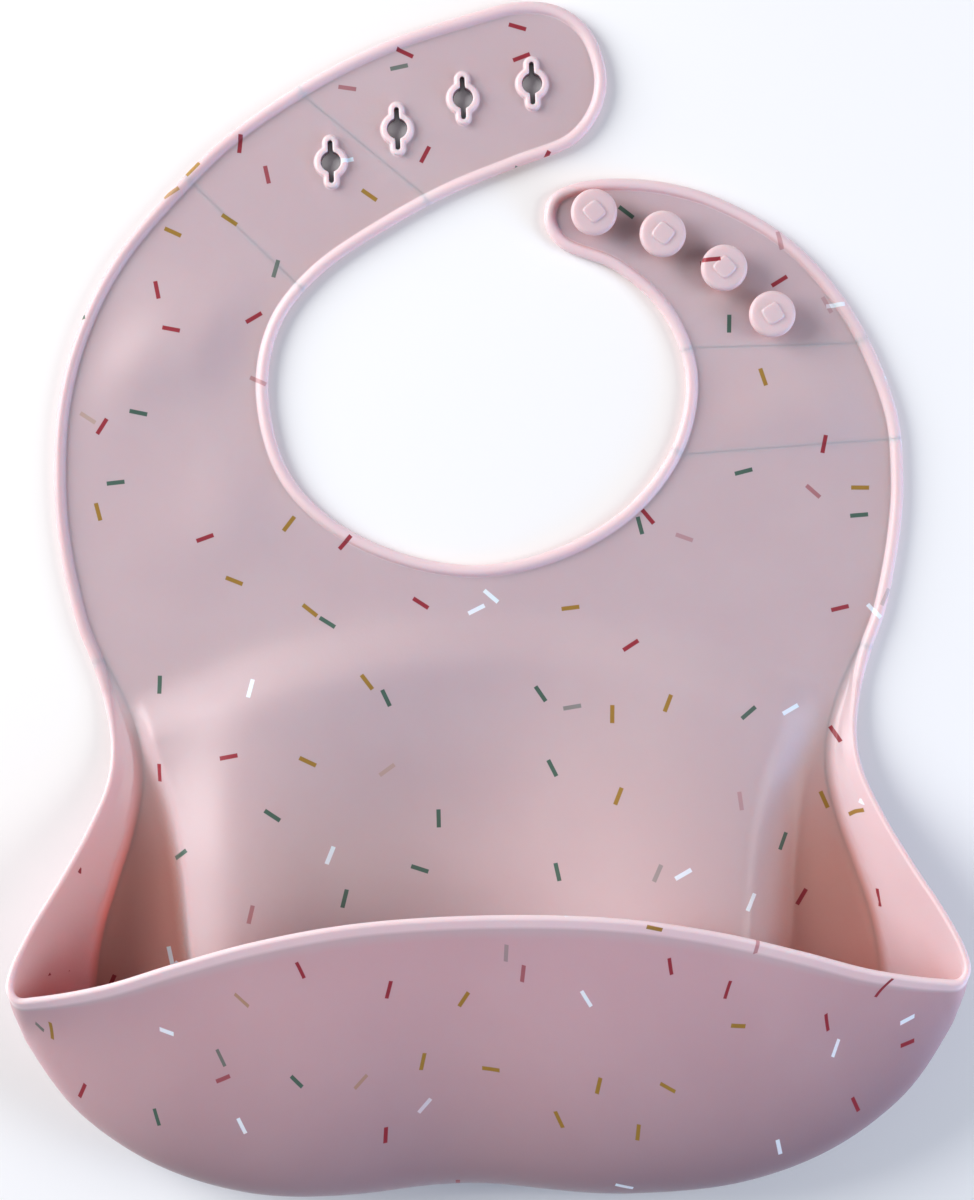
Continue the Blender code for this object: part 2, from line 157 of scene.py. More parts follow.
RIM = [
    (93.2, -24.0, 1.8),
    (91.3, -36.0, 3.6),
    (92.3, -45.4, 6.3),
    (97.0, -57.2, 11.8),
    (102.8, -68.3, 18.2),
    (108.9, -79.0, 25.2),
    (112.8, -88.0, 30.5),
    (113.2, -92.0, 32.0),
    (111.4, -94.4, 32.4),
    (106.5, -94.4, 32.9),
    (90.5, -91.8, 34.5),
    (73.3, -86.8, 36.5),
    (54.3, -81.8, 38.5),
    (30.8, -77.8, 40.5),
    (0.0, -76.3, 41.5),
]
LAST_STATION = len(RIM) - 1
CORNER = 7.5  # the station of the corner, where side wall and front wall meet
FILLET = 2.2  # how far the inner crease at the foot of the walls is rounded
DEEP_RISE = 3.0  # how far up the walls the painted deep red of the channel reaches

# the right half of the edge where the swell of the back wall drops to the floor
SHOULDER_LINE = [
    (97.0, -9.0),
    (87.5, -24.0),
    (82.5, -40.0),
    (79.0, -50.0),
    (76.0, -67.0),
    (73.8, -89.0),
    (70.0, -104.0),
    (58.0, -114.0),
    (30.0, -120.0),
    (0.0, -121.0),
]
SHOULDER = (4.5, 14.0)  # width of that drop on the left and on the right
SHOULDER_OUT = 2.2  # how far it reaches past the line
# above that the back wall rises along an arc, which droops from its middle to both sides
ARC_TOP = -3.0
ARC_DROOP = 0.0026
ARC_WIDTH = 15.0
ARC_RISE = 3.2
SLOW_RISE = 4.6  # and goes on rising towards the bottom of the pocket
# a ridge runs up the left side and along the arc, where it fades out
RIDGE_LINE = [
    (-60.0, -124.0),
    (-60.0, -88.0),
    (-60.0, -62.0),
    (-59.0, -42.0),
    (-54.0, -28.0),
    (-42.0, -18.0),
    (-22.0, -13.0),
    (0.0, -11.0),
    (40.0, -12.0),
    (75.0, -18.0),
    (100.0, -32.0),
]
RIDGE_SIDES = (17.0, 37.0)  # its half width on the side of the edge and on the inner side
RIDGE_HEIGHT = 9.3
RIDGE_FADE = (-62.0, 85.0)
# a hump stands on the right, a groove runs between and there is a dip under the arc: middle, half
# widths, height
HUMP = ((54.0, -100.0), (28.0, 56.0), 9.5)
GROOVE = ((2.0, -80.0), (30.0, 55.0), -5.2)
DIP = ((-12.0, -52.0), (26.0, 22.0), -1.9)
# the front is a little hollow left of its middle: place, half width, depth
DENT = (-14.0, 24.0, 2.9)

# soft bulges of the flat chest: middle, half length and half width, turn, height
BULGES = [
    ((-78.0, 62.0), (36.0, 12.0), 12.0, 2.3),
    ((-60.0, 22.0), (20.0, 12.0), 25.0, 1.5),
    ((84.0, 44.0), (28.0, 9.0), -4.0, 1.9),
]
BULGE_EDGE = 16.0  # they fade out this far from the edge

COLLAR = (3.95, 1.75, 6.6)  # radius, radius of its ends, half length
KEYHOLE = (2.4, 0.48, 5.15)  # the same for the slotted hole
COLLAR_HEIGHT = 2.95
EYELET_LEAN = math.radians(1.2)
STUD_TURNS = [math.radians(a) for a in (38.0, 50.0, 42.0, 30.0)]

# how finely the skin is divided
STEP = 1.8
TURN = math.radians(7)
BEAD_ROWS = 19
LOWER_ROWS = 11
UPPER_ROWS = 30
GRID = 2.6
FINE_GRID = 1.1

# ---------------------------------------------------------------- curves


def unit(vectors):
    """The vectors, one in each row, at length 1."""
    size = np.linalg.norm(vectors, axis=-1, keepdims=True)
    return vectors / np.maximum(size, 1e-12)


def soft_step(share):
    """0 at 0 and 1 at 1, level at both."""
    share = np.clip(share, 0.0, 1.0)
    return share * share * (3 - 2 * share)


def along(curve):
    """How far along the curve each of its points is."""
    return np.concatenate([[0.0], np.cumsum(np.linalg.norm(np.diff(curve, axis=0), axis=1))])


def span(a, b, c, d, shares):
    """Points of a centripetal Catmull-Rom spline through a, b, c and d, between b and c."""
    knots = np.cumsum([0.0] + [np.linalg.norm(q - p) ** 0.5 for p, q in ((a, b), (b, c), (c, d))])
    t = (knots[1] + shares * (knots[2] - knots[1]))[:, None]

    def mix(p, q, start, end):
        return ((knots[end] - t) * p + (t - knots[start]) * q) / (knots[end] - knots[start])

    ab, bc, cd = mix(a, b, 0, 1), mix(b, c, 1, 2), mix(c, d, 2, 3)
    return mix(mix(ab, bc, 0, 2), mix(bc, cd, 1, 3), 1, 2)


def closed_curve(points, counts):
    """A smooth closed curve through the points, with that many pieces in each span."""
    around = len(points)
    rows = [
        span(*(points[(k + step) % around] for step in (-1, 0, 1, 2)), np.arange(n) / n)
        for k, n in enumerate(counts)
    ]
    return np.vstack(rows)


def open_curve(points, counts):
    """A smooth curve through the points, with that many pieces in each span, ends included."""
    ends = np.vstack([2 * points[0] - points[1], points, 2 * points[-1] - points[-2]])
    rows = [span(*ends[k : k + 4], np.arange(n) / n) for k, n in enumerate(counts)]
    return np.vstack(rows + [points[-1:]])


def counts_for(points):
    """How many pieces each span of a closed curve takes, more where it turns."""
    chord = np.roll(points, -1, axis=0) - points
    way = unit(chord)
    turn = np.arccos(np.clip((way * np.roll(way, 1, axis=0)).sum(1), -1, 1))
    by_length = np.linalg.norm(chord, axis=1) / STEP
    by_turn = np.maximum(turn, np.roll(turn, -1)) / TURN
    return np.ceil(np.maximum(by_length, by_turn)).astype(int)


def inward_at(points):
    """The unit normal, towards the silicone, of a smooth clockwise curve at its points."""
    ends = np.vstack([2 * points[0] - points[1], points, 2 * points[-1] - points[-2]])
    step = np.diff(ends, axis=0)
    knot = np.linalg.norm(step, axis=1, keepdims=True) ** 0.5
    before, after = step[:-1] / knot[:-1], step[1:] / knot[1:]
    across = (step[:-1] + step[1:]) / (knot[:-1] + knot[1:])
    tangent = unit(before - across + after)
    return np.column_stack([tangent[:, 1], -tangent[:, 0]])


def turned(points, angle):
    cos, sin = math.cos(angle), math.sin(angle)
    return points @ np.array([[cos, sin], [-sin, cos]])


def both_halves(right):
    """Stations from the right side round to the left, from their right half."""
    right = np.array(right, float)
    left = right[::-1][1:].copy()
    left[:, 0] *= -1
    return np.vstack([right, left])


def hermite(start, end, leaving, arriving, shares):
    """Curves from start to end, a row of points for each row of start."""
    t = shares[None, :, None]
    start, end, leaving, arriving = (v[:, None] for v in (start, end, leaving, arriving))
    return (
        (2 * t**3 - 3 * t**2 + 1) * start
        + (t**3 - 2 * t**2 + t) * leaving
        + (3 * t**2 - 2 * t**3) * end
        + (t**3 - t**2) * arriving
    )


def mixed(first, second, share):
    """Each row of first, moved by its own share towards the same row of second."""
    return first + (second - first) * share[:, None]


# ---------------------------------------------------------------- the skin, patch by patch


class Skin:
    """A closed surface made of patches, which are welded where they meet."""

    def __init__(self):
        self.points = []
        self.prints = []
        self.tones = []
        self.faces = []
        self.printed = []
        self.regions = []
        self.size = 0

    def add(self, points, prints, faces, printed, regions, thick_and_lit=0, outer=0, deep=0, low=0):
        """Adds a patch and returns the number of its first point.

        prints is where each point lies on the printed pattern. printed and regions say of each face
        whether it carries the pattern and which piece it belongs to. The tone for thick silicone is 1
        where the silicone is thick and so looks paler, and it also paints light on the pocket's lip and
        side walls; outer is 1 on the outer side of the pocket, which is painted a redder pink; deep is 1
        at the bottom of the channel inside it, painted deep red for light through the walls; and low is 1
        at the bottom outside it and in the eyelets' holes, where it paints shade.
        """
        first = self.size
        self.points.append(np.asarray(points, float).reshape(-1, 3))
        count = len(self.points[-1])
        tones = [np.broadcast_to(tone, count) for tone in (thick_and_lit, outer, deep, low)]
        self.tones.append(np.column_stack(tones))
        self.prints.append(np.asarray(prints, float).reshape(-1, 2))
        self.faces += [tuple(first + k for k in face) for face in faces]
        self.printed += list(printed)
        self.regions += list(regions)
        self.size += len(self.points[-1])
        return first

    def welded(self):
        """Points, and for each face its corners' points and places on the pattern."""
        points = np.vstack(self.points)
        prints = np.vstack(self.prints)
        _, kept, same = np.unique(
            np.round(points / 1e-3).astype(int), axis=0, return_index=True, return_inverse=True
        )
        same = same.ravel()
        faces = []
        for face, printed, region in zip(self.faces, self.printed, self.regions):
            corners = {}
            for k in face:
                corners.setdefault(int(same[k]), prints[k])
            if len(corners) > 2:
                faces.append((corners, printed, region))
        tones = np.zeros((len(kept), 4))
        np.maximum.at(tones, same, np.vstack(self.tones))
        return points[kept], tones, faces, same


def grid_faces(columns, rows, closed=False):
    """The quads of a grid whose points go column by column."""
    last = columns if closed else columns - 1
    return [
        (
            c * rows + r,
            (c + 1) % columns * rows + r,
            (c + 1) % columns * rows + r + 1,
            c * rows + r + 1,
        )
        for c in range(last)
        for r in range(rows - 1)
    ]


# ---------------------------------------------------------------- the bead round the free edge


def bead_profiles():
    """The bead's section on the chest, on the side walls and on the front wall: distance in from the
    edge, and height above the back of the sheet, from the front of the sheet round to its back."""
    turn = np.radians(np.linspace(24, 252, BEAD_ROWS))
    ridge = np.column_stack([1.45 + 1.45 * np.cos(turn), np.maximum(1.42 + 1.5 * np.sin(turn), 0)])
    chest = np.vstack([[(3.3, SHEET), (3.02, 1.62), (2.87, 1.76)], ridge, [(1.5, 0), (2.4, 0), (3.3, 0)]])

    def rounded_edge(radius, into, swing):
        turn = np.radians(np.linspace(90 - swing, 270 + swing, BEAD_ROWS))
        tube = np.column_stack([np.cos(turn), np.sin(turn)]) * radius + (radius, SHEET / 2)
        into = np.array(into)
        return np.vstack([into, tube, (into * (1, -1) + (0, SHEET))[::-1]])

    side = rounded_edge(0.8, [(3.3, SHEET), (2.4, SHEET), (1.6, SHEET)], 2)
    front = rounded_edge(0.88, [(3.3, SHEET), (2.4, SHEET), (1.7, 1.62)], 8)
    return chest, side, front


class Bead:
    """The bead along the whole free edge, as columns of its section."""

    def __init__(self):
        outline = np.array(OUTLINE, float)
        middle = outline + inward_at(outline) * 1.45
        chest = np.column_stack([middle, np.full(len(middle), 1.45)])
        left_start = np.array(SIDE_START) * (-1, 1, 1)
        points = np.vstack([left_start, chest, SIDE_START, both_halves(RIM)])
        counts = counts_for(points)
        self.first = len(chest) + 1
        self.side = int(counts[: self.first].sum())  # the column where the pocket's side begins
        self.pocket_counts = counts[self.first :]
        self.middle = closed_curve(points, counts)
        self.count = len(self.middle)
        self.columns = np.arange(self.side, self.count + 1) % self.count  # the pocket's columns
        self.station = np.full(self.count, -1.0)
        place = np.concatenate([k + np.arange(n) / n for k, n in enumerate(self.pocket_counts)])
        self.station[self.side :] = LAST_STATION - np.abs(place - LAST_STATION - 1)
        self.frames()

    def frames(self):
        """Directions along the edge, in towards the sheet and out of its front."""
        self.tangent = unit(np.roll(self.middle, -1, axis=0) - np.roll(self.middle, 1, axis=0))
        up = np.array([0.0, 0.0, 1.0])
        level = unit(np.cross(self.tangent, up))
        start = self.middle[[self.side, 0]] + level[[self.side, 0]] * (3.3 - 1.45)
        start[:, 2] = self.middle[[self.side, 0], 2] - 1.45
        foot = np.column_stack([both_halves(FOOT), np.zeros(2 * len(FOOT) - 1)])
        wall = both_halves(WALL)
        self.foot = open_curve(np.vstack([start[0], foot, start[1]]), self.pocket_counts)
        self.wall = open_curve(np.vstack([start[0], wall, start[1]]), self.pocket_counts)
        towards = level.copy()
        towards[self.columns] = unit(self.wall - self.middle[self.columns])
        share = soft_step((self.station + 1) / 3.0)
        inward = mixed(level, towards, share)
        inward -= (inward * self.tangent).sum(1)[:, None] * self.tangent
        self.inward = unit(inward)
        self.front = unit(np.cross(self.inward, self.tangent))
        chest, side, front = bead_profiles()
        share = soft_step((self.station + 1) / 2.5)[:, None, None]
        rim = side + (front - side) * soft_step((self.station - 5.5) / 2.5)[:, None, None]
        profile = chest + (rim - chest) * share
        centre = np.array([1.45, 1.45]) + (np.array([1.4, 0.8]) - 1.45) * share
        offset = profile - centre
        self.rows = profile.shape[1]
        self.grid = (
            self.middle[:, None]
            + offset[..., :1] * self.inward[:, None]
            + offset[..., 1:] * self.front[:, None]
        )


# ---------------------------------------------------------------- the walls of the pocket


class Walls:
    """The pocket's side and front walls as one sheet, from the foot on the floor to the bead."""

    def __init__(self, bead):
        columns = bead.columns
        self.station = bead.station[columns]
        foot, top = bead.foot, bead.grid[columns, -1]
        wall = mixed(foot + (top - foot) * 0.55, bead.wall, soft_step(self.station / 2.5))
        upright = soft_step((self.station - 4.5) / 3.0)
        up = np.array([0.0, 0.0, 1.0])
        leaving = (wall - foot) * (1.0, 1.0, 0.0) * (0.3 + 0.9 * upright[:, None])
        straight = (top - foot) / 2
        lower_size = np.linalg.norm(wall - foot, axis=1)[:, None]
        upper_size = np.linalg.norm(top - wall, axis=1)[:, None]
        lower_turn = mixed(straight, up * lower_size, upright)
        upper_turn = mixed(straight, up * upper_size * 0.55, upright)
        arriving = -bead.inward[columns] * upper_size
        lower = hermite(foot, wall, leaving, lower_turn, np.linspace(0, 1, LOWER_ROWS + 1)[:-1])
        upper = hermite(wall, top, upper_turn, arriving, np.linspace(0, 1, UPPER_ROWS))
        self.outer = np.concatenate([lower, upper], axis=1)
        self.dent()
        self.outer[[0, -1]] = self.outer[[0, -1], -1:]
        normal = np.cross(np.gradient(self.outer, axis=0), np.gradient(self.outer, axis=1))
        size = np.linalg.norm(normal, axis=2, keepdims=True)
        normal = np.where(size > 1e-9, normal / np.maximum(size, 1e-12), bead.front[columns][:, None])
        normal[:, 0] = up
        self.inner = self.outer + normal * SHEET
        self.fillet(unit((top - foot) * (1.0, 1.0, 0.0)))
        self.inner[:, -1] = bead.grid[columns, 0]
        self.inner[[0, -1]] = self.inner[[0, -1], -1:]
        self.rows = self.outer.shape[1]

    def dent(self):
        """Presses the front in a little, but neither at its lip nor on the floor."""
        place, width, depth = DENT
        height = self.outer[..., 2]
        share = bell((self.outer[..., 0] - place) / width) * soft_step(self.station - CORNER)[:, None]
        share *= soft_step((height[:, -1:] - height) / 18.0) * soft_step(height / 10.0)
        self.outer += share[..., None] * depth * unit(np.array([0.0, 0.6, -0.8]))

    def fillet(self, away):
        """Rounds the inner crease at the foot, where the wall turns up more tightly than it is thick."""
        for column, way in zip(self.inner, away):
            start = column[0].copy()
            clear = (column - start) @ way > FILLET
            clear[-1] = True
            last = int(np.argmax(clear))
            share = np.linspace(0, 1, last + 1)[:, None]
            bend = start + way * min(FILLET, (column[last] - start) @ way) * 0.7
            column[: last + 1] = (
                (1 - share) ** 2 * start + 2 * share * (1 - share) * bend + share**2 * column[last]
            )


# ---------------------------------------------------------------- the sheet inside the bead


def inside(points, polygon):
    """Which of the points lie inside a closed polygon."""
    x, y = points[:, 0], points[:, 1]
    found = np.zeros(len(points), bool)
    for (x1, y1), (x2, y2) in zip(polygon, np.roll(polygon, -1, axis=0)):
        if y1 != y2:
            crosses = (y1 > y) != (y2 > y)
            found ^= crosses & (x < x1 + (y - y1) * (x2 - x1) / (y2 - y1))
    return found


def distance_to(line, points):
    """How far each point is from a line through many points."""
    nearest = np.full(len(points), np.inf)
    for start, end in zip(line[:-1], line[1:]):
        step = end - start
        share = np.clip(((points - start) @ step) / max(step @ step, 1e-12), 0, 1)
        gap = np.linalg.norm(points - start - share[:, None] * step, axis=1)
        nearest = np.minimum(nearest, gap)
    return nearest


def shoulder_line():
    right = open_curve(np.array(SHOULDER_LINE), [6] * (len(SHOULDER_LINE) - 1))
    return np.vstack([right, right[::-1] * (-1, 1)])


def bell(distance):
    return np.exp(-(distance**2))


def dropped(points):
    """1 on the pocket's back wall, 0 in the channel that surrounds it, and between on its shoulder."""
    line = shoulder_line()
    polygon = np.vstack([line, (-97.0, 20.0), (97.0, 20.0)])
    way_in = np.where(inside(points, polygon), 1.0, -1.0) * distance_to(line, points)
    left, right = SHOULDER
    width = left + (right - left) * soft_step((points[:, 0] + 20.0) / 60.0)
    return soft_step((way_in + SHOULDER_OUT) / width)


def down_pocket(y):
    """0 at the top of the pocket and 1 where it is deep."""
    return soft_step((-20.0 - y) / 55.0)


def back_wall(points):
    """How far the pocket's back wall stands off the table."""
    x, y = points[:, 0], points[:, 1]
    past_arc = ARC_TOP - ARC_DROOP * x**2 - y
    rise = ARC_RISE * soft_step(past_arc / ARC_WIDTH) + SLOW_RISE * soft_step((past_arc - 20.0) / 70.0)
    ridge_line = open_curve(np.array(RIDGE_LINE), [5] * (len(RIDGE_LINE) - 1))
    within = inside(points, np.vstack([ridge_line, (100.0, -124.0)]))
    ridge = bell(distance_to(ridge_line, points) / np.where(within, RIDGE_SIDES[1], RIDGE_SIDES[0]))
    start, reach = RIDGE_FADE
    swell = RIDGE_HEIGHT * ridge * (1 - soft_step((x - start) / reach))
    swell *= 0.45 + 0.55 * soft_step((-24.0 - y) / 42.0)
    for middle, widths, height in (HUMP, GROOVE, DIP):
        swell += height * bell(np.linalg.norm((points - middle) / widths, axis=1))
    return (rise + swell * soft_step((past_arc + 4.0) / 24.0)) * dropped(points)


def relief(points, edge):
    """The height of the sheet's back above the table."""
    height = back_wall(points)
    fade = soft_step(distance_to(np.vstack([edge, edge[:1]]), points) / BULGE_EDGE)
    for place, (half_length, half_width), turn, size in BULGES:
        local = turned(points - place, -math.radians(turn))
        height += size * fade * bell(np.linalg.norm(local / (half_length, half_width), axis=1))
    return height


def hexagonal(low, high, pitch):
    """Points in a triangular pattern over a box."""
    rows = np.arange(low[1], high[1], pitch * math.sqrt(0.75))
    return np.vstack(
        [
            np.column_stack([xs, np.full(len(xs), y)])
            for k, y in enumerate(rows)
            for xs in [np.arange(low[0] + (k % 2) * pitch / 2, high[0], pitch)]
        ]
    )


class Seam:
    """A straight cut across a strap, between two columns of the bead."""

    def __init__(self, bead, place, way, reach):
        place, way = np.array(place), np.array(way)
        chest = bead.middle[: bead.side + 1, :2]
        ahead = (chest - place) @ way
        aside = (chest - place) @ np.array([way[1], -way[0]])
        near = (np.sign(ahead[:-1]) != np.sign(ahead[1:])) & (np.abs(aside[:-1]) < reach)
        crossings = np.flatnonzero(near)
        self.start, self.end = int(crossings[0]), int(crossings[-1])
        ends = bead.grid[[self.start, self.end], 0, :2]
        pieces = round(float(np.linalg.norm(ends[1] - ends[0])) / GRID)
        self.line = ends[0] + np.linspace(0, 1, pieces + 1)[:, None] * (ends[1] - ends[0])

    def outline(self, bead):
        """The part of the sheet beyond the cut, seen from the front."""
        return bead.grid[self.start : self.end + 1, 0, :2]


def keyhole(sizes, offset, per_arc=13):
    """The outline of a round hole with a slot through it along Y, moved out by an offset."""
    radius, end_radius, half_length = (size + offset for size in sizes)
    meet = math.acos(end_radius / radius)
    side = math.sqrt(radius**2 - end_radius**2)
    centre = half_length - end_radius
    around = np.linspace(0, meet, per_arc)
    straight = np.linspace(side, centre, 5)[1:-1]
    cap = np.linspace(0, math.pi / 2, per_arc)
    quarter = np.concatenate(
        [
            radius * np.exp(1j * around),
            end_radius + 1j * straight,
            1j * centre + end_radius * np.exp(1j * cap),
        ]
    )
    half = np.concatenate([quarter, -quarter[-2::-1].conj()])
    whole = np.concatenate([half, -half[1:-1]])
    whole = (np.roll(whole, 1) + 2 * whole + np.roll(whole, -1)) / 4
    return np.column_stack([whole.real, whole.imag])


def collar_rings():
    """The collar's outlines from the sheet's front, over its rim and down the hole to the back."""
    top = COLLAR_HEIGHT
    rings = [
        (COLLAR, 0.5, SHEET),
        (COLLAR, 0.16, SHEET + 0.05),
        (COLLAR, 0.03, SHEET + 0.22),
        (COLLAR, 0.0, top - 0.5),
        (COLLAR, -0.06, top - 0.24),
        (COLLAR, -0.22, top - 0.06),
        (COLLAR, -0.42, top),
        (KEYHOLE, 0.5, top),
        (KEYHOLE, 0.3, top - 0.05),
        (KEYHOLE, 0.16, top - 0.22),
        (KEYHOLE, 0.12, top - 0.5),
        (KEYHOLE, 0.0, 1.2),
        (KEYHOLE, 0.0, 0.22),
        (KEYHOLE, 0.08, 0.06),
        (KEYHOLE, 0.3, 0.0),
        (COLLAR, 0.5, 0.0),
    ]
    return [(keyhole(sizes, offset), z) for sizes, offset, z in rings]


def middle_of(node):
    """The middle of a CAD node seen from the front, in millimetres."""
    low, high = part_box(node)
    return np.array((low + high)[:2]) / 2 / MM


class Collars:
    """The four eyelets' collars, each as a grid of rings."""

    def __init__(self):
        rings = collar_rings()
        self.rows = len(rings)
        self.grids = []
        for number in range(1, 5):
            place = middle_of(f"eyelet_collar_{number}")
            grid = [
                np.column_stack([place + turned(ring, EYELET_LEAN), np.full(len(ring), z)])
                for ring, z in rings
            ]
            self.grids.append(np.stack(grid, axis=1))


class Sheet:
    """The flat sheet and the pocket's back wall, as one set of triangles for front and back."""

    def __init__(self, bead, walls, collars, seams):
        edge = np.vstack([bead.grid[: bead.side + 1, 0, :2], walls.inner[1:-1, 0, :2]])
        holes = [grid[:, 0, :2] for grid in collars.grids]
        cuts = [seam.line[1:-1] for seam in seams]
        fixed = np.vstack([edge, *holes, *cuts])
        self.hole_starts = np.cumsum([len(edge)] + [len(h) for h in holes])[:-1]
        cut_starts = np.cumsum([len(edge) + sum(map(len, holes))] + [len(c) for c in cuts])[:-1]
        links = self.ring_links(0, len(edge))
        for start, hole in zip(self.hole_starts, holes):
            links += self.ring_links(int(start), len(hole))
        self.cuts = []
        for seam, start, cut in zip(seams, cut_starts, cuts):
            line = [seam.start, *range(int(start), int(start) + len(cut)), seam.end]
            links += list(zip(line, line[1:]))
            self.cuts.append(line)
        loose = self.loose_points(edge, holes, fixed)
        self.flat = np.vstack([fixed, loose])
        self.fixed = len(fixed)
        self.triangles = self.triangulate(links, edge, holes)
        height = relief(self.flat, edge)
        self.back = np.column_stack([self.flat, height])
        self.top = np.column_stack([self.flat, height + SHEET])
        chest = slice(0, bead.side + 1)
        foot = slice(bead.side + 1, len(edge))
        self.top[chest], self.back[chest] = bead.grid[chest, 0], bead.grid[chest, -1]
        self.top[foot], self.back[foot] = walls.inner[1:-1, 0], walls.outer[1:-1, 0]
        for start, grid in zip(self.hole_starts, collars.grids):
            rows = slice(int(start), int(start) + len(grid))
            self.top[rows], self.back[rows] = grid[:, 0], grid[:, -1]

    @staticmethod
    def ring_links(first, count):
        return [(first + k, first + (k + 1) % count) for k in range(count)]

    @staticmethod
    def loose_points(edge, holes, fixed):
        """Points inside the sheet, closer together on the shoulder of the back wall."""
        low, high = edge.min(0), edge.max(0)
        coarse, fine = hexagonal(low, high, GRID), hexagonal(low, high, FINE_GRID)
        line = shoulder_line()

        def on_shoulder(points):
            return (distance_to(line, points) < SHOULDER[0] + 2) & (points[:, 1] < -18)

        picked = [(coarse[~on_shoulder(coarse)], GRID), (fine[on_shoulder(fine)], FINE_GRID)]
        kept = []
        for points, pitch in picked:
            clear = inside(points, edge)
            for hole in holes:
                clear &= ~inside(points, hole)
            points = points[clear]
            gap = np.min(
                [np.linalg.norm(points[:, None] - part, axis=2).min(1) for part in np.array_split(fixed, 8)],
                axis=0,
            )
            kept.append(points[gap > 0.55 * pitch])
        return np.vstack(kept)

    def triangulate(self, links, edge, holes):
        found, _, faces, sources, _, _ = delaunay_2d_cdt(
            [Vector(p) for p in self.flat], links, [], 0, 1e-5
        )
        source = [s[0] for s in sources]
        faces = np.array([[source[k] for k in face] for face in faces])
        centre = self.flat[faces].mean(1)
        kept = inside(centre, edge)
        for hole in holes:
            kept &= ~inside(centre, hole)
        return faces[kept]


# ---------------------------------------------------------------- the whole skin


def face_value(faces, values):
    """The value at each face's first corner."""
    return [values[face[0]] for face in faces]


def hinge(name):
    """A joint's place in millimetres, and the way across it in the plane of the bib."""
    joint = next(j for j in frame["joints"] if j["name"] == name)
    axis = joint["axis"]
    return np.array(joint["pos_m"][:2]) / MM, unit(np.array([-axis[1], axis[0]], float))


def make_seams(bead):
    """Where the straps are divided: before each strap's first bend and between its two bends."""
    eyelet, eyelet_way = hinge("eyelet_strap_bend")
    button, button_way = hinge("button_strap_bend")
    return {
        "eyelet_strap_lower": Seam(bead, eyelet - 6.0 * eyelet_way, eyelet_way, 40),
        "eyelet_strap_upper": Seam(bead, eyelet + 30.7 * eyelet_way, eyelet_way, 40),
        "button_strap_lower": Seam(bead, button - 8.3 * button_way, button_way, 45),
        "button_strap_upper": Seam(bead, button + 16.2 * button_way, button_way, 45),
    }


def regions_of(seams, bead, points):
    """Which piece each place on the flat sheet belongs to."""
    names = np.full(len(points), "panel", object)
    for name, seam in seams.items():
        names[inside(points, seam.outline(bead))] = name
    return list(names)


